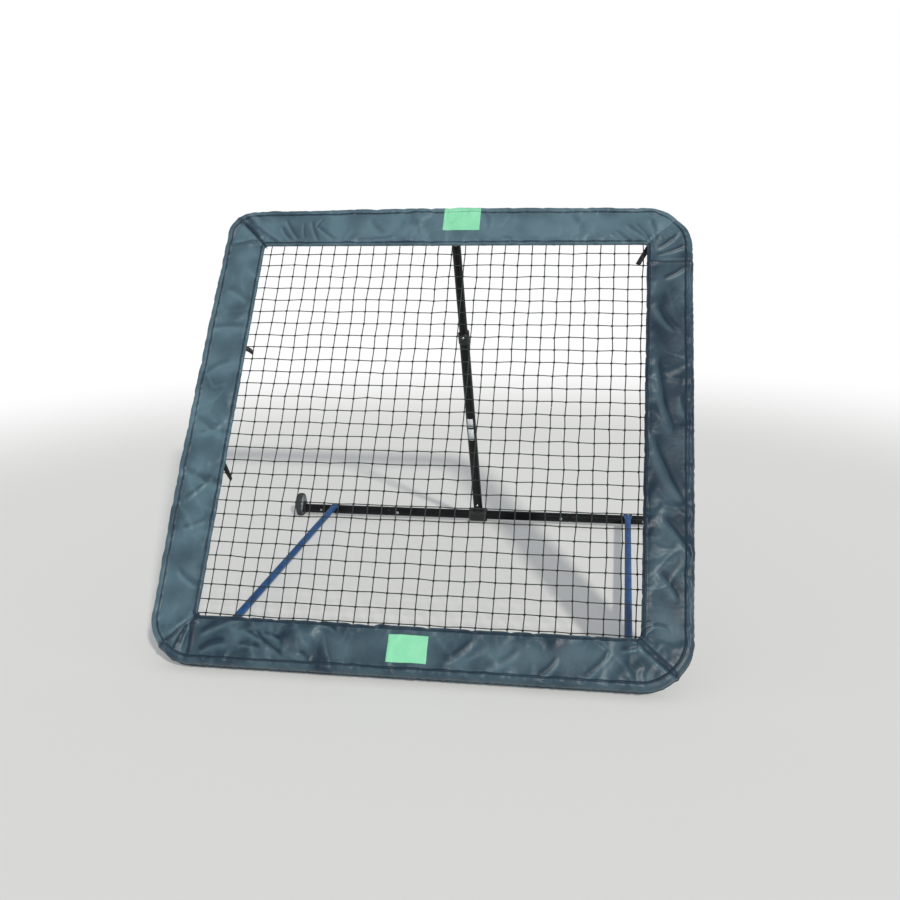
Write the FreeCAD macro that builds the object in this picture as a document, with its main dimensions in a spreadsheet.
import FreeCAD, Part
import math
import os
import Sketcher
from FreeCAD import Placement, Rotation, Vector

# Pitch back rebounder: a padded square net frame that leans back on a telescoping rear leg
# and a low base with two wheels. Millimetres, +Z up, the net faces -Y.
# The origin lies on the ground under the middle of the whole footprint.

doc = FreeCAD.newDocument("PitchBackRebounder")
sheet = doc.addObject("Spreadsheet::Sheet", "Sizes")

SIZES = [
    ("overall_side", 1640, "padded square, outside edge to outside edge"),
    ("lean", 37, "degrees that the frame leans back from upright"),
    ("tube_od", 38, "frame and base tube, outside"),
    ("tube_wall", 1.5, "frame and base tube wall"),
    ("bend_radius", 115, "frame corner, to the tube's centreline"),
    ("shoulder", 8, "length over which a tube end is swaged down"),
    ("swage_len", 70, "length of a swaged tube end"),
    ("seam_gap", 0.4, "gap between two tubes that meet at a swaged joint"),
    ("slip", 0.1, "radial clearance of pieces that slide or turn in each other"),
    ("bolt_radius", 3, "joint bolt shank"),
    ("bolt_slack", 0.3, "radial clearance of a bolt in its hole"),
    ("bolt_from_seam", 35, "joint bolt, distance from the seam"),
    ("bolt_head", 6.5, "radius of a domed bolt head"),
    ("bolt_dome", 3.5, "height of a domed bolt head"),
    ("dome_rim", 0.4, "share of a domed head's height that is straight"),
    ("dome_slope", 38, "degrees that the top of a domed head draws in"),
    ("socket_flats", 0.62, "hexagon socket across the flats, as a share of the head's radius"),
    ("socket_depth", 0.7, "hexagon socket's depth, as a share of the head's height"),
    ("nut_flats", 10, "nut, across the flats"),
    ("nut_height", 4.5, "nut height"),
    ("pad_overhang", 40, "tube centreline to the pad's outside edge"),
    ("pad_width", 148, "pad, outside edge to net opening"),
    ("pad_corner", 160, "outside corner radius of the padded square"),
    ("pad_crown", 47, "height of the pad's crown in front of the tube centreline"),
    ("pad_edge", 41, "height at which the crown meets the rounded edges"),
    ("pad_back", 23, "back face of the front panel, in front of the tube centreline"),
    ("pad_channel", 24, "radius of the channel that takes the tube"),
    ("pad_tail", 30, "how far the pad's outer wall reaches behind the tube centreline"),
    ("pad_lip", 8, "how near the back lip comes to the tube centreline"),
    ("pad_round", 18, "radius of the pad's outer edges"),
    ("pad_inner_round", 9, "radius of the pad's edge at the net opening"),
    ("relief_gap", 2, "radial room in a pad round an eye on the tube"),
    ("relief_side", 4, "room in a pad at each side of an eye"),
    ("ground_flat", 0.5, "depth by which the bottom pad is flattened on the ground"),
    ("net_edge", 75, "frame tube's centreline to the net's border rope"),
    ("net_cells", 17, "gaps along each side of the net"),
    ("strand", 3, "net strand width and thickness"),
    ("rope_radius", 3, "border rope"),
    ("rope_corner", 24, "corner radius of the border rope"),
    ("loop_count", 8, "webbing loops along each side, one in every second gap of the net"),
    ("loop_width", 12, "width of a webbing loop"),
    ("web", 1.6, "webbing thickness"),
    ("web_ease", 0.4, "gap between webbing and what it goes round"),
    ("keeper_width", 20, "width of a pad keeper strap"),
    ("keeper_inner", 2, "inner keeper straps, gaps of the net from the side's middle"),
    ("keeper_outer", 6, "outer keeper straps, gaps of the net from the side's middle"),
    ("tail_width", 19, "width of a loose strap tail"),
    ("tail_lift", 4, "height of a loose tail's tip in front of the tube centreline"),
    ("tail_root", 30, "where a tail is sewn under the pad, from the opening's edge"),
    ("corner_tail_root", 40, "root of the corner tail, above the opening's top edge"),
    ("corner_tail_drop", 62, "tip of the corner tail, below the opening's top edge"),
    ("tab_root", 40, "where the left tab is sewn under the pad, from the opening's edge"),
    ("tab_reach", 16, "how far the left tab shows in the opening"),
    ("tab_share", 0.4, "height of the left tab, as a share of half the opening"),
    ("left_tail_share", 0.2, "drop of the left tail's root, as a share of half the opening"),
    ("left_tail_reach", 20, "how far the left tail's tip shows in the opening"),
    ("left_tail_drop", 80, "how far the left tail's tip hangs below its root"),
    ("base_reach", 1518, "bottom frame tube to base bar, along the ground"),
    ("bar_height", 33, "base bar centreline above the ground"),
    ("bar_inset", 45, "base bar's end, in from the padded square's outside edge"),
    ("bar_seam", 392, "base bar seams, distance from the middle"),
    ("end_screw_in", 72, "wheel bracket screw, in from the base bar's end"),
    ("side_inset", 136, "side bar, in from the base bar's end"),
    ("side_od", 25, "side bar, outside"),
    ("side_wall", 1.5, "side bar wall"),
    ("side_past", 14, "side bar, how far it runs past the base bar's centreline"),
    ("eye_chamfer", 1.5, "chamfer on the edges of an eye or of the clamp collar"),
    ("flat_width", 36, "width of a side bar's flattened end"),
    ("flat_front", 27, "flattened end, how far it runs in front of its bolt"),
    ("flat_corner", 9, "cut-off corners of a flattened end"),
    ("flat_taper", 48, "length over which a side bar goes from round to flat"),
    ("flat_shut", 0.15, "last share of that length, in which the walls are pressed together"),
    ("press_reach", 0.3, "press mark at the start of the taper, half its flat"),
    ("press_step", 0.5, "press mark, depth below the round tube"),
    ("side_bolt", 4, "shank radius of the bolt through side bar and base bar"),
    ("side_nut_flats", 13, "side bar nut, across the flats"),
    ("side_nut_height", 5, "side bar nut height"),
    ("side_eye_outer", 25, "side bar eye, outside radius"),
    ("side_eye_width", 26, "side bar eye, width on the frame tube"),
    ("side_eye_neck", 34, "side bar eye, tube centreline to the neck's end"),
    ("side_eye_spigot", 50, "side bar eye, length of spigot in the bar"),
    ("foot_eye_outer", 29, "leg foot eye, outside radius"),
    ("foot_eye_width", 72, "leg foot eye, width on the base bar"),
    ("foot_eye_neck", 38, "leg foot eye, bar centreline to the neck's end"),
    ("foot_eye_spigot", 60, "leg foot eye, length of spigot in the leg"),
    ("top_slack", 3.2, "radial play of the leg's top eye on the frame tube"),
    ("top_eye_wall", 6, "leg top eye, wall"),
    ("top_eye_width", 44, "leg top eye, width on the frame tube"),
    ("top_eye_neck", 42, "leg top eye, tube centreline to the neck's end"),
    ("top_eye_spigot", 60, "leg top eye, length of spigot in the leg"),
    ("leg_od", 38, "lower leg tube, outside"),
    ("leg_upper_od", 32, "upper leg tube, outside"),
    ("leg_split", 930, "base bar to the upper end of the lower leg tube"),
    ("leg_overlap", 290, "upper leg tube, length held inside the lower one"),
    ("bush_length", 50, "bush between the leg tubes"),
    ("bush_flange", 3, "bush flange thickness"),
    ("collar_wall", 2.5, "clamp collar wall"),
    ("collar_length", 44, "clamp collar length"),
    ("boss_radius", 7.5, "clamp collar boss for the knob's stud"),
    ("boss_reach", 34, "leg centreline to the boss's end face"),
    ("knob_drop", 26, "clamp knob, below the collar's upper end"),
    ("collar_screw_drop", 9, "collar screw, below the collar's upper end"),
    ("stud_radius", 4, "clamp knob stud"),
    ("knob_radius", 15, "clamp knob"),
    ("knob_depth", 16, "clamp knob depth"),
    ("knob_lobes", 5, "scallops round the clamp knob"),
    ("knob_skirt", 2, "clamp knob, how far its neck widens to the head"),
    ("knob_edge", 1.5, "chamfer on the clamp knob's inner edge"),
    ("knob_crown", 3, "chamfer on the clamp knob's outer edge"),
    ("bite_radius", 5, "radius of a scallop"),
    ("bite_out", 2.5, "scallop's centre, outside the clamp knob's rim"),
    ("glide_length", 30, "glide at the bottom of the upper leg tube"),
    ("screw_radius", 2.5, "fixing screw shank"),
    ("screw_head", 5, "fixing screw head radius"),
    ("screw_dome", 2.8, "fixing screw head height"),
    ("screw_point", 1, "collar screw, how far it comes through the leg tube's wall"),
    ("wheel_radius", 50, "wheel, outside"),
    ("wheel_width", 24, "wheel width"),
    ("rim_radius", 41, "wheel rim, outside"),
    ("rim_wall", 4, "wheel rim and web thickness"),
    ("hub_radius", 12, "wheel hub boss"),
    ("spokes", 6, "ribs of a wheel"),
    ("rib_root", 2, "how far a rib runs into the hub boss and the rim"),
    ("tyre_seat", 2, "height of the tyre's bevel against the rim"),
    ("tyre_shoulder", 5, "width and depth of the tyre's rounded shoulder"),
    ("tyre_round", 1.5, "how far the shoulder's middle point keeps from the corner"),
    ("axle_radius", 5, "wheel axle pin"),
    ("bracket_plate", 10, "wheel bracket plate thickness"),
    ("bracket_low", 21, "wheel bracket plate, radius round the base bar"),
    ("bracket_high", 16, "wheel bracket plate, radius round the axle"),
    ("bracket_plug", 90, "wheel bracket plug length in the base bar"),
    ("washer_radius", 10, "axle washer"),
    ("washer_thick", 2, "axle washer thickness"),
    ("side_play", 0.3, "end play of a wheel on its axle"),
    ("cap_radius", 9, "push-on axle cap"),
    ("cap_depth", 5, "push-on axle cap depth"),
]

for row, (alias, number, words) in enumerate(SIZES, start=1):
    sheet.set("A%d" % row, words)
    sheet.set("B%d" % row, str(number))
    sheet.setAlias("B%d" % row, alias)
doc.recompute()

PIECES = []


def size(alias):
    """A cell of the sheet as a number."""
    return float(sheet.get(alias))


def plane_of(body, role):
    return [part for part in body.Origin.OriginFeatures if part.Role == role][0]


def new_body(label):
    body = doc.addObject("PartDesign::Body", label)
    body.Label = label
    PIECES.append(body)
    return body


def new_sketch(body, name, role, shift=None):
    """A sketch on one of the body's own origin planes, shifted by cell expressions."""
    sketch = body.newObject("Sketcher::SketchObject", name)
    sketch.AttachmentSupport = [(plane_of(body, role), "")]
    sketch.MapMode = "FlatFace"
    for axis, text in (shift or {}).items():
        sketch.setExpression("AttachmentOffset.Base." + axis, text)
    return sketch


def bind(sketch, constraint, name, text):
    number = sketch.addConstraint(constraint)
    sketch.renameConstraint(number, name)
    sketch.setExpression("Constraints." + name, text)


def outline(sketch, corners):
    """A closed polygon whose corners are pairs of cell expressions."""
    first = sketch.GeometryCount
    count = len(corners)
    seeds = [Vector(10 + step, step * step, 0) for step in range(count)]
    for step in range(count):
        sketch.addGeometry(Part.LineSegment(seeds[step], seeds[(step + 1) % count]), False)
    for step in range(count):
        following = first + (step + 1) % count
        sketch.addConstraint(Sketcher.Constraint("Coincident", first + step, 2, following, 1))
    for step, (across, along) in enumerate(corners):
        edge = first + step
        bind(sketch, Sketcher.Constraint("DistanceX", -1, 1, edge, 1, 1.0), "x%d" % edge, across)
        bind(sketch, Sketcher.Constraint("DistanceY", -1, 1, edge, 1, 1.0), "y%d" % edge, along)


def circles(sketch, rounds):
    """Circles given as centre and radius expressions."""
    for across, along, radius in rounds:
        edge = sketch.GeometryCount
        sketch.addGeometry(Part.Circle(Vector(edge, 1, 0), Vector(0, 0, 1), 1.0), False)
        bind(sketch, Sketcher.Constraint("Radius", edge, 1.0), "r%d" % edge, radius)
        bind(sketch, Sketcher.Constraint("DistanceX", -1, 1, edge, 3, 1.0), "x%d" % edge, across)
        bind(sketch, Sketcher.Constraint("DistanceY", -1, 1, edge, 3, 1.0), "y%d" % edge, along)


def grow(body, name, sketch, length, both=False, turned=False):
    """A pad of a sketch, its length a cell expression."""
    pad = body.newObject("PartDesign::Pad", name)
    pad.Profile = sketch
    pad.SideType = "Symmetric" if both else "One side"
    pad.Reversed = turned
    pad.setExpression("Length", length)
    return pad


def cut(body, name, sketch, length=None, turned=False):
    """A pocket: through everything both ways, or to one depth on the sketch's far side."""
    pocket = body.newObject("PartDesign::Pocket", name)
    pocket.Profile = sketch
    if length is None:
        pocket.SideType = "Symmetric"
        pocket.Type = "ThroughAll"
    else:
        pocket.Reversed = turned
        pocket.setExpression("Length", length)
    return pocket


def spin(body, name, sketch, axis="V_Axis"):
    turned = body.newObject("PartDesign::Revolution", name)
    turned.Profile = sketch
    turned.ReferenceAxis = (sketch, [axis])
    return turned


def repeat_round(body, name, feature, role, count):
    """A polar pattern of a feature about one of the body's own axes."""
    pattern = body.newObject("PartDesign::PolarPattern", name)
    pattern.Originals = [feature]
    pattern.Axis = (plane_of(body, role), [""])
    pattern.Angle = 360
    pattern.setExpression("Occurrences", count)
    body.Tip = pattern
    return pattern


def mirror(body, name, features, role):
    """The features once more on the other side of one of the body's own planes."""
    twin = body.newObject("PartDesign::Mirrored", name)
    twin.Originals = features
    twin.MirrorPlane = (plane_of(body, role), [""])
    body.Tip = twin
    return twin


def add_shape(label, shape, placement=None):
    """A piece whose solid is worked out from the sheet in the code below."""
    piece = doc.addObject("Part::Feature", label)
    piece.Label = label
    piece.Shape = shape
    if placement is not None:
        piece.Placement = placement
    PIECES.append(piece)
    return piece


# Skeleton: the three cross tubes' centrelines, seen from the side.
# The bottom pad rests on the ground, so its lowest round sets the bottom tube's height.
lean = math.radians(size("lean"))
frame_half = size("overall_side") / 2 - size("pad_overhang")
round_out = size("pad_overhang") - size("pad_round")
round_back = size("pad_tail") - size("pad_round")
pad_depth = round_out * math.cos(lean) + round_back * math.sin(lean) + size("pad_round")
bottom_height = pad_depth - size("ground_flat")
front_round = size("pad_edge") - size("pad_round")
pad_front = round_out * math.sin(lean) + front_round * math.cos(lean) + size("pad_round")
rear_reach = size("base_reach") + size("wheel_radius")
bottom_y = (pad_front - rear_reach) / 2
bar_y = bottom_y + size("base_reach")

BOTTOM = Vector(0, bottom_y, bottom_height)
BAR = Vector(0, bar_y, size("bar_height"))
CENTRE = BOTTOM + Vector(0, math.sin(lean), math.cos(lean)) * frame_half
TOP = BOTTOM + Vector(0, math.sin(lean), math.cos(lean)) * 2 * frame_half
FRAME = Placement(CENTRE, Rotation(Vector(1, 0, 0), 90 - size("lean")))


def aimed(start, end, side=0.0):
    """Puts a body's Z axis on the line from start to end, with its X axis kept level."""
    line = end - start
    turn = math.degrees(math.atan2(-line.y, line.z))
    return Placement(start + Vector(side, 0, 0), Rotation(Vector(1, 0, 0), turn))


LEG = aimed(BAR, TOP)
bar_top = size("bar_height") + size("tube_od") / 2
SIDE_REST = Vector(0, bar_y, bar_top + size("slip") + size("side_wall"))

bar_half = size("overall_side") / 2 - size("bar_inset")
SPANS = [
    ("net_side", 2 * (frame_half - size("net_edge")), "net, border rope to border rope"),
    ("bar_half", bar_half, "half the length of the base bar"),
    ("end_screw_at", bar_half - size("end_screw_in"), "wheel bracket screw, from the middle"),
    ("side_at", bar_half - size("side_inset"), "side bars, distance from the middle"),
    ("leg_span", (TOP - BAR).Length, "base bar to top frame tube, centre to centre"),
    ("side_span", (SIDE_REST - BOTTOM).Length, "bottom frame tube to side bar bolt"),
]
for row, (alias, number, words) in enumerate(SPANS, start=len(SIZES) + 1):
    sheet.set("A%d" % row, words)
    sheet.set("B%d" % row, str(number))
    sheet.setAlias("B%d" % row, alias)
doc.recompute()

TUBE_OUT = "Sizes.tube_od / 2"
TUBE_IN = "Sizes.tube_od / 2 - Sizes.tube_wall"
SWAGE_OUT = "Sizes.tube_od / 2 - Sizes.tube_wall - Sizes.slip"
SWAGE_IN = "Sizes.tube_od / 2 - 2 * Sizes.tube_wall - Sizes.slip"
BOLT_HOLE = "Sizes.bolt_radius + Sizes.bolt_slack"
FRAME_HALF = "(Sizes.overall_side / 2 - Sizes.pad_overhang)"


# Frame: four equal quarter tubes, each bent once and swaged at one end into the next
def quarter_tube(label, turn):
    body = new_body(label)
    spine = new_sketch(body, label + "_path", "XY_Plane")
    spine.addGeometry(Part.LineSegment(Vector(0, -50, 0), Vector(40, -50, 0)), False)
    spine.addGeometry(
        Part.Arc(Vector(40, -50, 0), Vector(47, -47, 0), Vector(50, -40, 0)), False
    )
    spine.addGeometry(Part.LineSegment(Vector(50, -40, 0), Vector(50, -5, 0)), False)
    spine.addConstraint(Sketcher.Constraint("Tangent", 0, 2, 1, 1))
    spine.addConstraint(Sketcher.Constraint("Tangent", 1, 2, 2, 1))
    spine.addConstraint(Sketcher.Constraint("Horizontal", 0))
    spine.addConstraint(Sketcher.Constraint("Vertical", 2))
    bind(spine, Sketcher.Constraint("Radius", 1, 10.0), "bend", "Sizes.bend_radius")
    bind(spine, Sketcher.Constraint("DistanceX", -1, 1, 0, 1, 1.0), "begin", "Sizes.seam_gap / 2")
    bind(spine, Sketcher.Constraint("DistanceY", 0, 1, -1, 1, 50.0), "drop", FRAME_HALF)
    bind(spine, Sketcher.Constraint("DistanceX", -1, 1, 2, 1, 50.0), "reach", FRAME_HALF)
    bind(spine, Sketcher.Constraint("DistanceY", 2, 2, -1, 1, 5.0), "end",
         "Sizes.seam_gap / 2 + Sizes.shoulder")
    section = new_sketch(body, label + "_section", "YZ_Plane", {"z": "Sizes.seam_gap / 2"})
    drop = "-" + FRAME_HALF
    circles(section, [(drop, "0", TUBE_OUT), (drop, "0", TUBE_IN)])
    pipe = body.newObject("PartDesign::AdditivePipe", label + "_bend")
    pipe.Profile = section
    pipe.Spine = (spine, [])
    swage = new_sketch(body, label + "_swage", "XY_Plane", {"x": FRAME_HALF})
    shoulder = "-Sizes.seam_gap / 2 - Sizes.shoulder"
    outline(swage, [
        (TUBE_IN, shoulder),
        (TUBE_OUT, shoulder),
        (SWAGE_OUT, "-Sizes.seam_gap / 2"),
        (SWAGE_OUT, "Sizes.swage_len"),
        (SWAGE_IN, "Sizes.swage_len"),
        (SWAGE_IN, "-Sizes.seam_gap / 2"),
    ])
    spin(body, label + "_end", swage)
    holes = new_sketch(body, label + "_holes", "XY_Plane")
    circles(holes, [
        ("Sizes.bolt_from_seam", drop, BOLT_HOLE),
        (FRAME_HALF, "Sizes.bolt_from_seam", BOLT_HOLE),
    ])
    cut(body, label + "_bolt_holes", holes)
    body.Placement = FRAME.multiply(Placement(Vector(), Rotation(Vector(0, 0, 1), turn)))


for label, turn in (
    ("frame_tube_bottom_right", 0),
    ("frame_tube_top_right", 90),
    ("frame_tube_top_left", 180),
    ("frame_tube_bottom_left", 270),
):
    quarter_tube(label, turn)


# Fasteners: domed bolts or screws and hexagon nuts, one group of separate solids to a node
def domed(label, placement, role, spots, face, shank, reach, head, dome):
    """Domed heads on a face of the given plane, with shanks that run back from it."""
    body = new_body(label)
    heads = new_sketch(body, label + "_heads", role, {"z": face})
    circles(heads, [(across, along, head) for across, along in spots])
    grow(body, label + "_rims", heads, "(%s) * Sizes.dome_rim" % dome)
    tops = new_sketch(body, label + "_tops", role, {"z": face + " + (%s) * Sizes.dome_rim" % dome})
    circles(tops, [(across, along, head) for across, along in spots])
    top = grow(body, label + "_domes", tops, "(%s) * (1 - Sizes.dome_rim)" % dome)
    top.setExpression("TaperAngle", "-Sizes.dome_slope")
    socket = new_sketch(body, label + "_key", role, {"z": face + " + (%s)" % dome})
    for across, along in spots:
        hexagon(socket, across, along, "2 * (%s) * Sizes.socket_flats" % head)
    cut(body, label + "_key_way", socket, "(%s) * Sizes.socket_depth" % dome)
    shanks = new_sketch(body, label + "_shanks", role, {"z": face})
    circles(shanks, [(across, along, shank) for across, along in spots])
    grow(body, label + "_stems", shanks, reach, turned=True)
    body.Placement = placement


def hexagon(sketch, across, along, flats):
    """A hexagon across flats, centred on a point given by two expressions."""
    half = "(%s) / 2" % flats
    point = "(%s) / sqrt(3)" % flats
    corners = [("+", "1", "0"), ("+", "0.5", "1"), ("-", "0.5", "1"),
               ("-", "1", "0"), ("-", "0.5", "-1"), ("+", "0.5", "-1")]
    outline(sketch, [
        ("%s %s %s * %s" % (across, sign, share, point), "%s + %s * %s" % (along, rise, half))
        for sign, share, rise in corners
    ])


def hex_nuts(label, placement, role, spots, face, flats, height, shank):
    """Nuts under a face of the given plane, threaded on shanks of one radius."""
    body = new_body(label)
    plates = new_sketch(body, label + "_flats", role, {"z": face})
    for across, along in spots:
        hexagon(plates, across, along, flats)
    circles(plates, [(across, along, shank) for across, along in spots])
    grow(body, label + "_blocks", plates, height, turned=True)
    body.Placement = placement


# Frame joint bolts: domed heads to the front, nuts behind, one at each seam
BACK = "-Sizes.tube_od / 2"
SEAM = "Sizes.bolt_from_seam"
frame_seams = [
    (SEAM, "-" + FRAME_HALF),
    (FRAME_HALF, SEAM),
    ("-" + SEAM, FRAME_HALF),
    ("-" + FRAME_HALF, "-" + SEAM),
]
domed("frame_joint_bolts", FRAME, "XY_Plane", frame_seams, TUBE_OUT, "Sizes.bolt_radius",
      "Sizes.tube_od + Sizes.nut_height", "Sizes.bolt_head", "Sizes.bolt_dome")
hex_nuts("frame_joint_nuts", FRAME, "XY_Plane", frame_seams, BACK, "Sizes.nut_flats",
         "Sizes.nut_height", "Sizes.bolt_radius")


# Base bar: a centre tube and two end tubes swaged into it
centre_bar = new_body("base_bar_centre")
section = new_sketch(centre_bar, "centre_bar_section", "YZ_Plane")
circles(section, [("0", "0", TUBE_OUT), ("0", "0", TUBE_IN)])
grow(centre_bar, "centre_bar_tube", section,
     "2 * Sizes.bar_seam - Sizes.seam_gap", both=True)
BAR_BOLT = "(Sizes.bar_seam - Sizes.bolt_from_seam)"
holes = new_sketch(centre_bar, "centre_bar_holes", "XZ_Plane")
circles(holes, [(BAR_BOLT, "0", BOLT_HOLE), ("-" + BAR_BOLT, "0", BOLT_HOLE)])
cut(centre_bar, "centre_bar_bolt_holes", holes)
centre_bar.Placement = Placement(BAR, Rotation())


def end_bar(label, turn):
    body = new_body(label)
    profile = new_sketch(body, label + "_profile", "XY_Plane")
    seam = "Sizes.bar_seam + Sizes.seam_gap / 2"
    outline(profile, [
        ("Sizes.bar_half", TUBE_IN),
        ("Sizes.bar_half", TUBE_OUT),
        (seam + " + Sizes.shoulder", TUBE_OUT),
        (seam, SWAGE_OUT),
        ("Sizes.bar_seam - Sizes.swage_len", SWAGE_OUT),
        ("Sizes.bar_seam - Sizes.swage_len", SWAGE_IN),
        (seam, SWAGE_IN),
        (seam + " + Sizes.shoulder", TUBE_IN),
    ])
    spin(body, label + "_tube", profile, "H_Axis")
    level = new_sketch(body, label + "_level", "XZ_Plane")
    circles(level, [
        (BAR_BOLT, "0", BOLT_HOLE),
        ("Sizes.end_screw_at", "0", "Sizes.screw_radius"),
    ])
    cut(body, label + "_level_holes", level)
    upright = new_sketch(body, label + "_upright", "XY_Plane")
    circles(upright, [("Sizes.side_at", "0", "Sizes.side_bolt + Sizes.bolt_slack")])
    cut(body, label + "_side_bolt_hole", upright)
    body.Placement = Placement(BAR, Rotation(Vector(0, 0, 1), turn))


end_bar("base_bar_right", 0)
end_bar("base_bar_left", 180)

# Base bar fasteners: joint bolts at the seams, screws at the wheel brackets
ON_BAR = Placement(BAR, Rotation())
bar_seams = [(BAR_BOLT, "0"), ("-" + BAR_BOLT, "0")]
domed("base_joint_bolts", ON_BAR, "XZ_Plane", bar_seams, TUBE_OUT, "Sizes.bolt_radius",
      "Sizes.tube_od + Sizes.nut_height", "Sizes.bolt_head", "Sizes.bolt_dome")
hex_nuts("base_joint_nuts", ON_BAR, "XZ_Plane", bar_seams, BACK, "Sizes.nut_flats",
         "Sizes.nut_height", "Sizes.bolt_radius")
domed("wheel_bracket_screws", ON_BAR, "XZ_Plane",
      [("Sizes.end_screw_at", "0"), ("-Sizes.end_screw_at", "0")], TUBE_OUT,
      "Sizes.screw_radius", "Sizes.tube_od", "Sizes.screw_head", "Sizes.screw_dome")


# Eyes: each turns on a cross tube and carries a leg or side bar on its spigot
def tube_eye(label, placement, outer, width, neck, spigot, neck_radius, spigot_radius, bore):
    """A ring on a cross tube, with a neck and a spigot along the body's own Z axis."""
    body = new_body(label)
    ring = new_sketch(body, label + "_disc", "XY_Plane")
    half = "(%s) / 2" % width
    outline(ring, [
        ("-" + half, "0"),
        ("-" + half, outer + " - Sizes.eye_chamfer"),
        ("-" + half + " + Sizes.eye_chamfer", outer),
        (half + " - Sizes.eye_chamfer", outer),
        (half, outer + " - Sizes.eye_chamfer"),
        (half, "0"),
    ])
    spin(body, label + "_ring", ring, "H_Axis")
    stub = new_sketch(body, label + "_neck", "XY_Plane")
    circles(stub, [("0", "0", neck_radius)])
    grow(body, label + "_shoulder", stub, neck)
    pin = new_sketch(body, label + "_pin", "XY_Plane", {"z": neck})
    circles(pin, [("0", "0", spigot_radius)])
    grow(body, label + "_spigot", pin, spigot)
    hollow = new_sketch(body, label + "_hollow", "YZ_Plane")
    circles(hollow, [("0", "0", bore)])
    cut(body, label + "_bore", hollow)
    hole = new_sketch(body, label + "_screw", "XZ_Plane")
    circles(hole, [("0", neck + " + " + spigot + " / 2", "Sizes.screw_radius")])
    cut(body, label + "_screw_hole", hole)
    body.Placement = placement
    return body


def plain_tube(label, placement, outer, inner, begin, length, holes):
    """A straight tube along Z with cross holes given as height and radius expressions."""
    body = new_body(label)
    ring = new_sketch(body, label + "_ring", "XY_Plane", {"z": begin})
    circles(ring, [("0", "0", outer), ("0", "0", inner)])
    grow(body, label + "_wall", ring, length)
    if holes:
        marks = new_sketch(body, label + "_marks", "XZ_Plane")
        circles(marks, [("0", height, radius) for height, radius in holes])
        cut(body, label + "_holes", marks)
    body.Placement = placement
    return body


def fixing_screw(label, placement, spots, face, reach):
    """Screws along Y that hold an eye's spigot, their heads on the tube's front."""
    domed(label, placement, "XZ_Plane", spots, face, "Sizes.screw_radius", reach,
          "Sizes.screw_head", "Sizes.screw_dome")


# Side bars: from the bottom frame tube to the base bar, round on an eye in front and
# pressed flat at the rear end, which lies on the base bar under its bolt
SIDE_OUT = "Sizes.side_od / 2"
SIDE_IN = "Sizes.side_od / 2 - Sizes.side_wall"
SIDE_SCREW = "Sizes.side_eye_neck + Sizes.side_eye_spigot / 2"
FLAT_AT = "(Sizes.side_span - Sizes.flat_front)"
ROUND_TO = "(Sizes.side_span - Sizes.flat_front - Sizes.flat_taper)"


def slot_outline(sketch, reach, radius):
    """Two half rounds of a radius joined by lines, their centres a reach from the middle."""
    first = sketch.GeometryCount
    up = Vector(0, 0, 1)
    right = Part.Circle(Vector(6, 0, 0), up, 3)
    left = Part.Circle(Vector(-6, 0, 0), up, 3)
    sketch.addGeometry(Part.ArcOfCircle(right, -math.pi / 2, math.pi / 2), False)
    sketch.addGeometry(Part.LineSegment(Vector(6, 3, 0), Vector(-6, 3, 0)), False)
    sketch.addGeometry(Part.ArcOfCircle(left, math.pi / 2, 3 * math.pi / 2), False)
    sketch.addGeometry(Part.LineSegment(Vector(-6, -3, 0), Vector(6, -3, 0)), False)
    for step in range(4):
        following = first + (step + 1) % 4
        sketch.addConstraint(Sketcher.Constraint("Tangent", first + step, 2, following, 1))
    sketch.addConstraint(Sketcher.Constraint("Equal", first, first + 2))
    sketch.addConstraint(Sketcher.Constraint("PointOnObject", first, 3, -1))
    sketch.addConstraint(Sketcher.Constraint("PointOnObject", first + 2, 3, -1))
    bind(sketch, Sketcher.Constraint("Radius", first, 3.0), "half_round", radius)
    bind(sketch, Sketcher.Constraint("DistanceX", -1, 1, first, 3, 6.0), "to_right", reach)
    bind(sketch, Sketcher.Constraint("DistanceX", first + 2, 3, -1, 1, 6.0), "to_left", reach)


def press(body, name, kind, sections):
    """A loft through slot outlines, each given as height, reach and radius."""
    sketches = []
    for step, (height, reach, radius) in enumerate(sections):
        sketch = new_sketch(body, "%s_%d" % (name, step), "XY_Plane", {"z": height})
        slot_outline(sketch, reach, radius)
        sketches.append(sketch)
    loft = body.newObject(kind, name)
    loft.Profile = sketches[0]
    loft.Sections = sketches[1:]
    return loft


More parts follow.
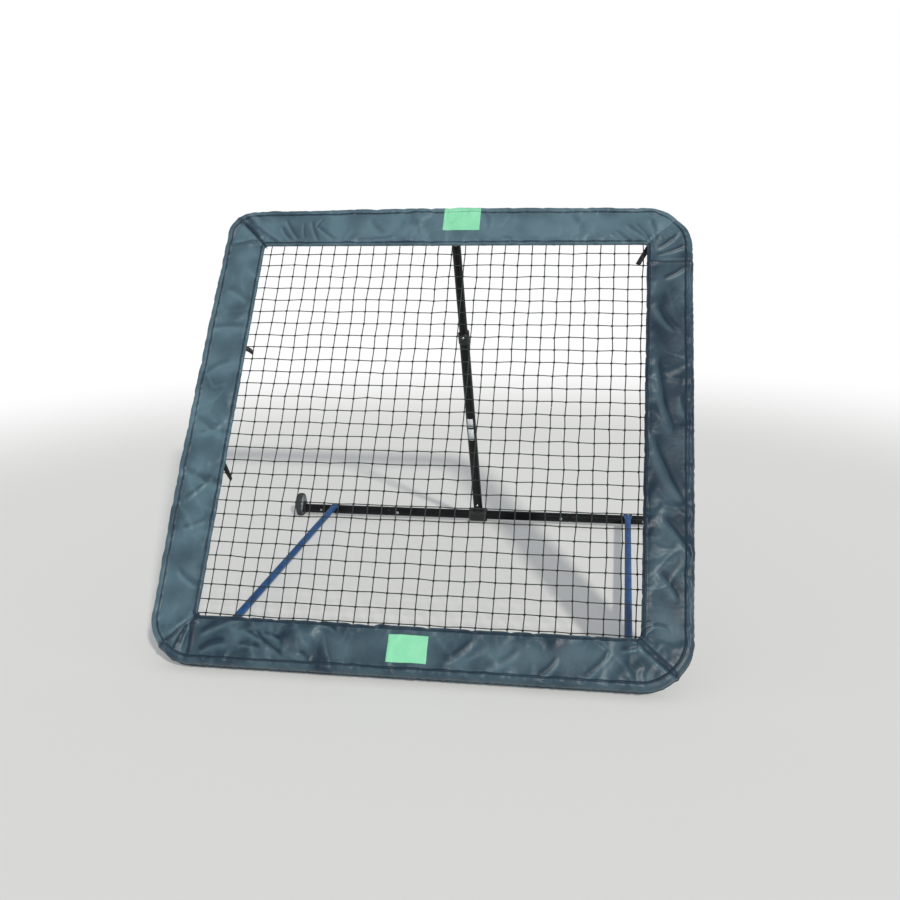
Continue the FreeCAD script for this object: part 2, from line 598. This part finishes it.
def side_bar(label, placement):
    body = new_body(label)
    ring = new_sketch(body, label + "_ring", "XY_Plane", {"z": "Sizes.side_eye_neck"})
    circles(ring, [("0", "0", SIDE_OUT)])
    grow(body, label + "_round", ring, ROUND_TO + " - Sizes.side_eye_neck")
    press(body, label + "_taper", "PartDesign::AdditiveLoft", [
        (ROUND_TO, "Sizes.press_reach", SIDE_OUT + " - Sizes.press_step"),
        (FLAT_AT, "Sizes.flat_width / 2 - Sizes.side_wall", "Sizes.side_wall"),
    ])
    plate = new_sketch(body, label + "_plate", "XZ_Plane")
    half = "Sizes.flat_width / 2"
    end = "Sizes.side_span + Sizes.side_past"
    outline(plate, [
        ("-" + half, FLAT_AT),
        (half, FLAT_AT),
        (half, end + " - Sizes.flat_corner"),
        (half + " - Sizes.flat_corner", end),
        ("-" + half + " + Sizes.flat_corner", end),
        ("-" + half, end + " - Sizes.flat_corner"),
    ])
    grow(body, label + "_flat", plate, "2 * Sizes.side_wall", both=True)
    bore = new_sketch(body, label + "_bore_mark", "XY_Plane", {"z": "Sizes.side_eye_neck"})
    circles(bore, [("0", "0", SIDE_IN)])
    cut(body, label + "_bore", bore, ROUND_TO + " - Sizes.side_eye_neck", turned=True)
    press(body, label + "_slit", "PartDesign::SubtractiveLoft", [
        (ROUND_TO, "Sizes.press_reach", SIDE_IN + " - Sizes.press_step"),
        (FLAT_AT + " - Sizes.flat_shut * Sizes.flat_taper",
         "(1 - Sizes.flat_shut) * (Sizes.flat_width / 2 - Sizes.side_wall)",
         "Sizes.flat_shut * (" + SIDE_IN + ")"),
    ])
    marks = new_sketch(body, label + "_marks", "XZ_Plane")
    circles(marks, [("0", SIDE_SCREW, "Sizes.screw_radius"),
                    ("0", "Sizes.side_span", "Sizes.side_bolt + Sizes.bolt_slack")])
    cut(body, label + "_holes", marks)
    body.Placement = placement


for name, side in (("right", size("side_at")), ("left", -size("side_at"))):
    place = aimed(BOTTOM, SIDE_REST, side)
    tube_eye("side_eye_" + name, place, "Sizes.side_eye_outer", "Sizes.side_eye_width",
             "Sizes.side_eye_neck", "Sizes.side_eye_spigot", SIDE_OUT,
             SIDE_IN + " - Sizes.slip", TUBE_OUT + " + Sizes.slip")
    side_bar("side_bar_" + name, place)

SIDES = ("Sizes.side_at", "-Sizes.side_at")
AT_REST = Placement(SIDE_REST, Rotation())
PLATE_TOP = "(Sizes.side_wall + Sizes.slip)"
UNDER_BAR = "(Sizes.side_wall + Sizes.slip + Sizes.tube_od)"
fixing_screw("side_eye_screws", aimed(BOTTOM, SIDE_REST), [(side, SIDE_SCREW) for side in SIDES],
             SIDE_OUT, "Sizes.side_od")
domed("side_bar_bolts", AT_REST, "XY_Plane", [(side, "0") for side in SIDES], PLATE_TOP,
      "Sizes.side_bolt", PLATE_TOP + " + " + UNDER_BAR + " + Sizes.side_nut_height",
      "2 * Sizes.side_bolt", "Sizes.side_bolt")
hex_nuts("side_bar_nuts", AT_REST, "XY_Plane", [(side, "0") for side in SIDES],
         "-" + UNDER_BAR, "Sizes.side_nut_flats", "Sizes.side_nut_height", "Sizes.side_bolt")


# Wheels: an eccentric bracket in each end of the base bar, an axle pin and a ribbed wheel
WHEEL_LIFT = "(Sizes.wheel_radius - Sizes.bar_height)"
WHEEL_IN = "(Sizes.bar_half + Sizes.bracket_plate + Sizes.washer_thick + Sizes.side_play)"
AXLE_END = WHEEL_IN + " + Sizes.wheel_width + Sizes.side_play"


def wheel_end(name, turn):
    place = Placement(BAR, Rotation(Vector(0, 0, 1), turn))
    bracket = new_body("wheel_bracket_" + name)
    plug = new_sketch(bracket, "bracket_plug_" + name, "YZ_Plane",
                      {"z": "Sizes.bar_half - Sizes.bracket_plug"})
    circles(plug, [("0", "0", TUBE_IN + " - Sizes.slip")])
    grow(bracket, "bracket_stub_" + name, plug, "Sizes.bracket_plug")
    for part, lift, radius in (("low", "0", "Sizes.bracket_low"),
                               ("high", WHEEL_LIFT, "Sizes.bracket_high")):
        disc = new_sketch(bracket, "bracket_%s_%s" % (part, name), "YZ_Plane",
                          {"z": "Sizes.bar_half"})
        circles(disc, [("0", lift, radius)])
        grow(bracket, "bracket_plate_%s_%s" % (part, name), disc, "Sizes.bracket_plate")
    hole = new_sketch(bracket, "bracket_axle_" + name, "YZ_Plane",
                      {"z": "Sizes.bar_half + Sizes.bracket_plate"})
    circles(hole, [("0", WHEEL_LIFT, "Sizes.axle_radius")])
    cut(bracket, "bracket_axle_hole_" + name, hole, "Sizes.bracket_plate")
    cross = new_sketch(bracket, "bracket_cross_" + name, "XZ_Plane")
    circles(cross, [("Sizes.end_screw_at", "0", "Sizes.screw_radius")])
    cut(bracket, "bracket_screw_hole_" + name, cross)
    bracket.Placement = place

    pin = new_body("axle_pin_" + name)
    rod = new_sketch(pin, "axle_rod_" + name, "YZ_Plane", {"z": "Sizes.bar_half"})
    circles(rod, [("0", WHEEL_LIFT, "Sizes.axle_radius")])
    grow(pin, "axle_length_" + name, rod,
         AXLE_END + " + Sizes.cap_depth / 2 - Sizes.bar_half")
    pin.Placement = place

    axis = Placement(place.multVec(Vector(0, 0, size("wheel_radius") - size("bar_height"))),
                     Rotation(Vector(0, 0, 1), turn))
    hub = new_body("wheel_hub_" + name)
    profile = new_sketch(hub, "hub_profile_" + name, "XY_Plane", {"x": WHEEL_IN})
    middle = "Sizes.wheel_width / 2"
    web = "Sizes.rim_wall / 2"
    outline(profile, [
        ("0", "Sizes.axle_radius + Sizes.slip"),
        ("0", "Sizes.hub_radius"),
        (middle + " - " + web, "Sizes.hub_radius"),
        (middle + " - " + web, "Sizes.rim_radius - Sizes.rim_wall"),
        ("Sizes.rim_wall", "Sizes.rim_radius - Sizes.rim_wall"),
        ("Sizes.rim_wall / 2", "Sizes.rim_radius"),
        ("Sizes.wheel_width - Sizes.rim_wall / 2", "Sizes.rim_radius"),
        ("Sizes.wheel_width - Sizes.rim_wall", "Sizes.rim_radius - Sizes.rim_wall"),
        (middle + " + " + web, "Sizes.rim_radius - Sizes.rim_wall"),
        (middle + " + " + web, "Sizes.hub_radius"),
        ("Sizes.wheel_width", "Sizes.hub_radius"),
        ("Sizes.wheel_width", "Sizes.axle_radius + Sizes.slip"),
    ])
    spin(hub, "hub_turned_" + name, profile, "H_Axis")
    rib = new_sketch(hub, "hub_rib_" + name, "XY_Plane", {"x": WHEEL_IN})
    outline(rib, [
        ("Sizes.rim_wall", "Sizes.hub_radius - Sizes.rib_root"),
        ("Sizes.rim_wall + Sizes.rib_root", "Sizes.rim_radius - Sizes.rib_root"),
        ("Sizes.wheel_width - Sizes.rim_wall - Sizes.rib_root",
         "Sizes.rim_radius - Sizes.rib_root"),
        ("Sizes.wheel_width - Sizes.rim_wall", "Sizes.hub_radius - Sizes.rib_root"),
    ])
    fin = grow(hub, "hub_fin_" + name, rib, "Sizes.rim_wall", both=True)
    repeat_round(hub, "hub_fins_" + name, fin, "X_Axis", "Sizes.spokes")
    hub.Placement = axis

    tyre = new_body("wheel_tyre_" + name)
    tread = new_sketch(tyre, "tyre_profile_" + name, "XY_Plane", {"x": WHEEL_IN})
    side = "Sizes.rim_wall / 2"
    outline(tread, [
        (side, "Sizes.rim_radius"),
        ("0", "Sizes.rim_radius + Sizes.tyre_seat"),
        ("0", "Sizes.wheel_radius - Sizes.tyre_shoulder"),
        ("Sizes.tyre_round", "Sizes.wheel_radius - Sizes.tyre_round"),
        ("Sizes.tyre_shoulder", "Sizes.wheel_radius"),
        ("Sizes.wheel_width - Sizes.tyre_shoulder", "Sizes.wheel_radius"),
        ("Sizes.wheel_width - Sizes.tyre_round", "Sizes.wheel_radius - Sizes.tyre_round"),
        ("Sizes.wheel_width", "Sizes.wheel_radius - Sizes.tyre_shoulder"),
        ("Sizes.wheel_width", "Sizes.rim_radius + Sizes.tyre_seat"),
        ("Sizes.wheel_width - " + side, "Sizes.rim_radius"),
    ])
    spin(tyre, "tyre_turned_" + name, tread, "H_Axis")
    tyre.Placement = axis


wheel_end("right", 0)
wheel_end("left", 180)


def axle_trim(label, begin, depth, outer, bore, bore_depth):
    """A ring or cap on each axle pin, the left one a mirror of the right one."""
    body = new_body(label)
    ring = new_sketch(body, label + "_ring", "YZ_Plane", {"z": begin})
    circles(ring, [("0", WHEEL_LIFT, outer)])
    disc = grow(body, label + "_disc", ring, depth)
    hole = new_sketch(body, label + "_bore", "YZ_Plane", {"z": begin})
    circles(hole, [("0", WHEEL_LIFT, bore)])
    socket = cut(body, label + "_socket", hole, bore_depth, turned=True)
    mirror(body, label + "_pair", [disc, socket], "YZ_Plane")
    body.Placement = ON_BAR


axle_trim("axle_washers", "Sizes.bar_half + Sizes.bracket_plate", "Sizes.washer_thick",
          "Sizes.washer_radius", "Sizes.axle_radius + Sizes.slip", "Sizes.washer_thick")
axle_trim("axle_caps", AXLE_END, "Sizes.cap_depth", "Sizes.cap_radius",
          "Sizes.axle_radius", "Sizes.cap_depth / 2")


# Leg: foot eye, lower tube, bush, clamp collar and knob, upper tube, glide and top eye
LEG_OUT = "Sizes.leg_od / 2"
LEG_IN = "Sizes.leg_od / 2 - Sizes.tube_wall"
UPPER_OUT = "Sizes.leg_upper_od / 2"
UPPER_IN = "Sizes.leg_upper_od / 2 - Sizes.tube_wall"
COLLAR_IN = LEG_OUT + " + Sizes.slip"
COLLAR_OUT = LEG_OUT + " + Sizes.slip + Sizes.collar_wall"
KNOB_AT = "(Sizes.leg_split - Sizes.knob_drop)"
COLLAR_SCREW_AT = "(Sizes.leg_split - Sizes.collar_screw_drop)"
FOOT_SCREW = "Sizes.foot_eye_neck + Sizes.foot_eye_spigot / 2"
TOP_SCREW = "Sizes.leg_span - Sizes.top_eye_neck - Sizes.top_eye_spigot / 2"

tube_eye("leg_foot_eye", LEG, "Sizes.foot_eye_outer", "Sizes.foot_eye_width",
         "Sizes.foot_eye_neck", "Sizes.foot_eye_spigot", LEG_OUT,
         LEG_IN + " - Sizes.slip", TUBE_OUT + " + Sizes.slip")
plain_tube("leg_lower_tube", LEG, LEG_OUT, LEG_IN, "Sizes.foot_eye_neck",
           "Sizes.leg_split - Sizes.foot_eye_neck",
           [(FOOT_SCREW, "Sizes.screw_radius"),
            (COLLAR_SCREW_AT, "Sizes.screw_radius"),
            (KNOB_AT, "Sizes.stud_radius + Sizes.bolt_slack")])
fixing_screw("foot_eye_screw", LEG, [("0", FOOT_SCREW)], LEG_OUT, "Sizes.leg_od")

bush = new_body("leg_bush")
profile = new_sketch(bush, "bush_profile", "XZ_Plane", {"y": "Sizes.leg_split"})
outline(profile, [
    (UPPER_OUT + " + Sizes.slip", "-Sizes.bush_length"),
    (LEG_IN + " - Sizes.slip", "-Sizes.bush_length"),
    (LEG_IN + " - Sizes.slip", "0"),
    (LEG_OUT, "0"),
    (LEG_OUT, "Sizes.bush_flange / 2"),
    (LEG_OUT + " - Sizes.bush_flange / 2", "Sizes.bush_flange"),
    (UPPER_OUT + " + Sizes.slip", "Sizes.bush_flange"),
])
spin(bush, "bush_turned", profile)
hole = new_sketch(bush, "bush_stud_mark", "XZ_Plane")
circles(hole, [("0", KNOB_AT, "Sizes.stud_radius + Sizes.bolt_slack"),
               ("0", COLLAR_SCREW_AT, "Sizes.screw_radius")])
cut(bush, "bush_stud_hole", hole)
bush.Placement = LEG

collar = new_body("leg_collar")
profile = new_sketch(collar, "collar_profile", "XZ_Plane", {"y": "Sizes.leg_split"})
outline(profile, [
    ("0", "-Sizes.collar_length"),
    (COLLAR_OUT + " - Sizes.eye_chamfer", "-Sizes.collar_length"),
    (COLLAR_OUT, "-Sizes.collar_length + Sizes.eye_chamfer"),
    (COLLAR_OUT, "-Sizes.eye_chamfer"),
    (COLLAR_OUT + " - Sizes.eye_chamfer", "0"),
    ("0", "0"),
])
spin(collar, "collar_turned", profile)
boss = new_sketch(collar, "collar_boss_mark", "XZ_Plane")
circles(boss, [("0", KNOB_AT, "Sizes.boss_radius")])
grow(collar, "collar_boss", boss, "Sizes.boss_reach", turned=True)
bore = new_sketch(collar, "collar_bore_mark", "XY_Plane",
                  {"z": "Sizes.leg_split - Sizes.collar_length"})
circles(bore, [("0", "0", COLLAR_IN)])
cut(collar, "collar_bore", bore)
stud_way = new_sketch(collar, "collar_stud_mark", "XZ_Plane")
circles(stud_way, [("0", KNOB_AT, "Sizes.stud_radius + Sizes.slip")])
cut(collar, "collar_stud_hole", stud_way, "Sizes.boss_reach + Sizes.side_play")
collar.Placement = LEG

screw_way = new_sketch(collar, "collar_screw_mark", "XZ_Plane")
circles(screw_way, [("0", COLLAR_SCREW_AT, "Sizes.screw_radius")])
cut(collar, "collar_screw_hole", screw_way)
fixing_screw("collar_screw", LEG, [("0", COLLAR_SCREW_AT)], COLLAR_OUT,
             "Sizes.collar_wall + Sizes.slip + Sizes.tube_wall + Sizes.screw_point")

# Clamp knob: a scalloped head moulded on a stud that bears on the upper tube
knob_height = size("leg_split") - size("knob_drop")
ON_KNOB = LEG.multiply(Placement(Vector(0, size("boss_reach") + size("side_play"), knob_height),
                                 Rotation(Vector(1, 0, 0), -90)))
knob = new_body("clamp_knob")
face = new_sketch(knob, "knob_face", "XZ_Plane")
outline(face, [
    ("0", "0"),
    ("Sizes.boss_radius", "0"),
    ("Sizes.boss_radius + Sizes.knob_skirt", "Sizes.knob_depth / 3"),
    ("Sizes.knob_radius - Sizes.knob_edge", "Sizes.knob_depth / 3"),
    ("Sizes.knob_radius", "Sizes.knob_depth / 3 + Sizes.knob_edge"),
    ("Sizes.knob_radius", "Sizes.knob_depth - Sizes.knob_crown"),
    ("Sizes.knob_radius - Sizes.knob_crown", "Sizes.knob_depth"),
    ("0", "Sizes.knob_depth"),
])
spin(knob, "knob_turned", face)
scallop = new_sketch(knob, "knob_scallop", "XY_Plane", {"z": "Sizes.knob_depth"})
circles(scallop, [("Sizes.knob_radius + Sizes.bite_out", "0", "Sizes.bite_radius")])
bite = cut(knob, "knob_bite", scallop, "Sizes.knob_depth")
repeat_round(knob, "knob_bites", bite, "Z_Axis", "Sizes.knob_lobes")
knob.Placement = ON_KNOB

stud = new_body("knob_stud")
rod = new_sketch(stud, "stud_end", "XY_Plane")
circles(rod, [("0", "0", "Sizes.stud_radius")])
grow(stud, "stud_length", rod, "Sizes.boss_reach + Sizes.side_play - Sizes.leg_upper_od / 2"
     " - Sizes.bolt_slack", turned=True)
stud.Placement = ON_KNOB

plain_tube("leg_upper_tube", LEG, UPPER_OUT, UPPER_IN, "Sizes.leg_split - Sizes.leg_overlap",
           "Sizes.leg_span - Sizes.top_eye_neck - Sizes.leg_split + Sizes.leg_overlap",
           [(TOP_SCREW, "Sizes.screw_radius")])
glide = new_body("leg_glide")
profile = new_sketch(glide, "glide_profile", "XZ_Plane",
                     {"y": "Sizes.leg_split - Sizes.leg_overlap"})
outline(profile, [
    ("0", "-Sizes.glide_length"),
    (LEG_IN + " - Sizes.slip", "-Sizes.glide_length"),
    (LEG_IN + " - Sizes.slip", "0"),
    (UPPER_IN + " - Sizes.slip", "0"),
    (UPPER_IN + " - Sizes.slip", "Sizes.glide_length"),
    ("0", "Sizes.glide_length"),
])
spin(glide, "glide_turned", profile)
glide.Placement = LEG

TOP_DOWN = aimed(TOP, BAR)
tube_eye("leg_top_eye", TOP_DOWN, TUBE_OUT + " + Sizes.top_slack + Sizes.top_eye_wall",
         "Sizes.top_eye_width", "Sizes.top_eye_neck", "Sizes.top_eye_spigot", UPPER_OUT,
         UPPER_IN + " - Sizes.slip", TUBE_OUT + " + Sizes.top_slack")
fixing_screw("top_eye_screw", LEG, [("0", TOP_SCREW)], UPPER_OUT, "Sizes.leg_upper_od")


# Pads: foam in sewn sleeves, a hook section swept round the square and mitred at the corners
def pad_section():
    """The section across a side: X is outward from the tube centreline, Y to the front."""
    outer = size("pad_overhang")
    inner = outer - size("pad_width")
    edge = size("pad_edge")
    back = size("pad_back")
    tail = size("pad_tail")
    lip = size("pad_lip")
    channel = size("pad_channel")
    turn = size("pad_round")
    nose = size("pad_inner_round")
    slant = turn * math.sqrt(0.5)
    hook = nose * math.sqrt(0.5)
    middle = (outer + inner) / 2
    meet = -math.sqrt(channel ** 2 - back ** 2)
    lip_top = -math.sqrt(channel ** 2 - lip ** 2)

    def at(across, up):
        return Vector(across, up, 0)

    def line(start, end):
        return Part.LineSegment(start, end).toShape()

    def arc(start, via, end):
        return Part.Arc(start, via, end).toShape()

    points = [
        at(outer - turn, -tail),
        at(outer, turn - tail),
        at(outer, edge - turn),
        at(outer - turn, edge),
        at(inner + nose, edge),
        at(inner, edge - nose),
        at(inner + nose / 2, back),
        at(meet, back),
        at(lip, lip_top),
        at(lip, -tail),
    ]
    edges = [
        arc(points[0], at(outer - turn + slant, turn - tail - slant), points[1]),
        line(points[1], points[2]),
        arc(points[2], at(outer - turn + slant, edge - turn + slant), points[3]),
        arc(points[3], at(middle, size("pad_crown")), points[4]),
        arc(points[4], at(inner + nose - hook, edge - nose + hook), points[5]),
        line(points[5], points[6]),
        line(points[6], points[7]),
        arc(points[7], at(channel * math.sqrt(0.5), channel * math.sqrt(0.5)), points[8]),
        line(points[8], points[9]),
        line(points[9], points[0]),
    ]
    return Part.Face(Part.Wire(edges))


def pad_solid():
    """The pad of the bottom side: a straight run and half of each rounded corner."""
    straight = size("overall_side") / 2 - size("pad_corner")
    section = pad_section()
    upright = Placement(Vector(0, -frame_half, 0),
                        Rotation(Vector(0, -1, 0), Vector(0, 0, 1), Vector(-1, 0, 0), "XYZ"))
    section.Placement = upright
    section.translate(Vector(straight, 0, 0))
    run = section.extrude(Vector(-2 * straight, 0, 0))
    right = section.revolve(Vector(straight, -straight, 0), Vector(0, 0, 1), 45)
    left = right.mirror(Vector(0, 0, 0), Vector(1, 0, 0))
    return run.fuse([right, left]).removeSplitter()


def tube_relief(radius, width, side):
    """Room in a pad for an eye on the tube at a distance from the middle."""
    start = Vector(side - width / 2, -frame_half, 0)
    return Part.makeCylinder(radius, width, start, Vector(1, 0, 0))


def pad(label, turn, reliefs):
    shape = pad_solid()
    for relief in reliefs:
        shape = shape.cut(relief)
    if turn == 0:
        reach = size("overall_side")
        ground = Part.makeBox(2 * reach, 2 * reach, reach, Vector(-reach, -reach, -reach))
        ground.Placement = FRAME.inverse()
        shape = shape.cut(ground)
    add_shape(label, shape, FRAME.multiply(Placement(Vector(), Rotation(Vector(0, 0, 1), turn))))


side_relief = size("side_eye_outer") + size("relief_gap")
side_gap = size("side_eye_width") + 2 * size("relief_side")
top_eye_outer = size("tube_od") / 2 + size("top_slack") + size("top_eye_wall")
top_relief = top_eye_outer + size("top_slack") + size("relief_gap") / 2
top_gap = size("top_eye_width") + 2 * size("relief_side") + size("relief_gap")
lip_cut = Part.makeBox(top_gap, 2 * top_relief, 2 * top_relief,
                       Vector(-top_gap / 2, -frame_half - size("pad_round") - size("relief_side"),
                              -2 * top_relief))
pad("pad_bottom", 0, [tube_relief(side_relief, side_gap, side)
                      for side in (-size("side_at"), size("side_at"))])
pad("pad_right", 90, [])
pad("pad_top", 180, [tube_relief(top_relief, top_gap, 0), lip_cut])
pad("pad_left", 270, [])


# Net: one knotless sheet of square gaps, its border rope and the webbing loops to the tubes
def net_sheet():
    half = size("net_side") / 2
    thick = size("strand")
    count = int(size("net_cells"))
    pitch = size("net_side") / count
    gap = pitch - thick
    rim = [Vector(-half, -half, 0), Vector(half, -half, 0), Vector(half, half, 0),
           Vector(-half, half, 0), Vector(-half, -half, 0)]
    holes = []
    for row in range(count):
        for column in range(count):
            left = -half + column * pitch + thick / 2
            low = -half + row * pitch + thick / 2
            holes.append(Part.makePolygon([
                Vector(left, low, 0), Vector(left, low + gap, 0),
                Vector(left + gap, low + gap, 0), Vector(left + gap, low, 0),
                Vector(left, low, 0),
            ]))
    face = Part.Face([Part.makePolygon(rim)] + holes)
    face.translate(Vector(0, 0, -thick / 2))
    return face.extrude(Vector(0, 0, thick))


add_shape("net", net_sheet(), FRAME)


def rope_ring():
    half = size("net_side") / 2
    turn = size("rope_corner")
    straight = half - turn
    bend = turn * math.sqrt(0.5)
    edges = []
    for quarter in range(4):
        spot = Placement(Vector(), Rotation(Vector(0, 0, 1), 90 * quarter))
        run = [spot.multVec(Vector(-straight, -half, 0)), spot.multVec(Vector(straight, -half, 0))]
        via = spot.multVec(Vector(straight + bend, -straight - bend, 0))
        end = spot.multVec(Vector(half, -straight, 0))
        edges.append(Part.LineSegment(run[0], run[1]).toShape())
        edges.append(Part.Arc(run[1], via, end).toShape())
    path = Part.Wire(edges)
    ring = Part.Wire(Part.makeCircle(size("rope_radius"), Vector(-straight, -half, 0),
                                     Vector(1, 0, 0)))
    return path.makePipeShell([ring], True, False)


add_shape("net_border_rope", rope_ring(), FRAME)


def belt_wire(big, small, span):
    """A belt round two circles a distance apart: the big one at the origin, the small at +Y."""
    dip = math.asin((big - small) / span)
    across, along = math.cos(dip), math.sin(dip)
    near = [Vector(0, big * along, big * across), Vector(0, big * along, -big * across)]
    far = [Vector(0, span + small * along, small * across),
           Vector(0, span + small * along, -small * across)]
    return Part.Wire([
        Part.LineSegment(near[0], far[0]).toShape(),
        Part.Arc(far[0], Vector(0, span + small, 0), far[1]).toShape(),
        Part.LineSegment(far[1], near[1]).toShape(),
        Part.Arc(near[1], Vector(0, -big, 0), near[0]).toShape(),
    ])


def webbing_loop(place):
    """One loop round the frame tube and the border rope, at a distance along the side."""
    inner_big = size("tube_od") / 2 + size("web_ease")
    inner_small = size("rope_radius") + size("web_ease")
    span = frame_half - size("net_side") / 2
    outer = belt_wire(inner_big + size("web"), inner_small + size("web"), span)
    inner = belt_wire(inner_big, inner_small, span)
    inner.reverse()
    band = Part.Face([outer, inner]).extrude(Vector(size("loop_width"), 0, 0))
    band.translate(Vector(place - size("loop_width") / 2, -frame_half, 0))
    return band


def each_side(shapes):
    """The shapes of the bottom side, repeated on all four sides of the square."""
    group = []
    for quarter in range(4):
        for shape in shapes:
            copy = shape.copy()
            copy.rotate(Vector(0, 0, 0), Vector(0, 0, 1), 90 * quarter)
            group.append(copy)
    return Part.makeCompound(group)


net_gap = size("net_side") / size("net_cells")
count = int(size("loop_count"))
places = [(step - (count - 1) / 2) * 2 * net_gap for step in range(count)]
add_shape("net_loops", each_side([webbing_loop(place) for place in places]), FRAME)


# Pad keepers: short straps sewn into the pads, each round the back of the tube
def keeper(place):
    near = size("tube_od") / 2 + size("web_ease")
    far = near + size("web")
    outer_end = math.sqrt(size("pad_channel") ** 2 - far ** 2)
    inner_end = size("pad_back")

    def at(inward, up):
        return Vector(0, inward, up)

    wire = Part.Wire([
        Part.LineSegment(at(-near, outer_end), at(-far, outer_end)).toShape(),
        Part.LineSegment(at(-far, outer_end), at(-far, 0)).toShape(),
        Part.Arc(at(-far, 0), at(0, -far), at(far, 0)).toShape(),
        Part.LineSegment(at(far, 0), at(far, inner_end)).toShape(),
        Part.LineSegment(at(far, inner_end), at(near, inner_end)).toShape(),
        Part.LineSegment(at(near, inner_end), at(near, 0)).toShape(),
        Part.Arc(at(near, 0), at(0, -near), at(-near, 0)).toShape(),
        Part.LineSegment(at(-near, 0), at(-near, outer_end)).toShape(),
    ])
    band = Part.Face(wire).extrude(Vector(size("keeper_width"), 0, 0))
    band.translate(Vector(place - size("keeper_width") / 2, -frame_half, 0))
    return band


keeper_places = [sign * size(alias) * net_gap for alias in ("keeper_inner", "keeper_outer")
                 for sign in (-1, 1)]
add_shape("pad_keepers", each_side([keeper(place) for place in keeper_places]), FRAME)


# Strap tails: loose ends of webbing that show at the edge of the net opening
def strap_tail(label, root, tip):
    """A flat length of webbing from its sewn root to its loose tip."""
    line = tip - root
    length = line.Length
    across = Vector(0, 0, 1).cross(line)
    turned = Rotation(line, across, Vector(0, 0, 1), "XYZ")
    band = Part.makeBox(length, size("tail_width"), size("web"),
                        Vector(0, -size("tail_width") / 2, -size("web")))
    add_shape(label, band, FRAME.multiply(Placement(root, turned)))


opening = size("overall_side") / 2 - size("pad_width")
sewn = size("pad_back")
loose = size("tail_lift")
strap_tail("strap_tail_top_right",
           Vector(opening + size("tail_root"), opening + size("corner_tail_root"), sewn),
           Vector(opening - size("tail_root"), opening - size("corner_tail_drop"), loose))
tab_at = size("tab_share") * opening
strap_tail("strap_tab_left",
           Vector(-opening - size("tab_root"), tab_at, sewn),
           Vector(-opening + size("tab_reach"), tab_at, loose))
strap_tail("strap_tail_left",
           Vector(-opening - size("tail_root"), -size("left_tail_share") * opening, sewn),
           Vector(-opening + size("left_tail_reach"),
                  -size("left_tail_share") * opening - size("left_tail_drop"), loose))


# Write each piece once all of them are sound
doc.recompute()
for item in doc.Objects:
    if "Invalid" in item.State or "Error" in item.State:
        raise RuntimeError(item.Label + " failed: " + ", ".join(item.State))
os.makedirs("parts", exist_ok=True)
for piece in PIECES:
    if piece.Shape.isNull() or not piece.Shape.isValid():
        raise RuntimeError(piece.Label + " has no sound shape")
    piece.Shape.exportStep("parts/" + piece.Label + ".step")
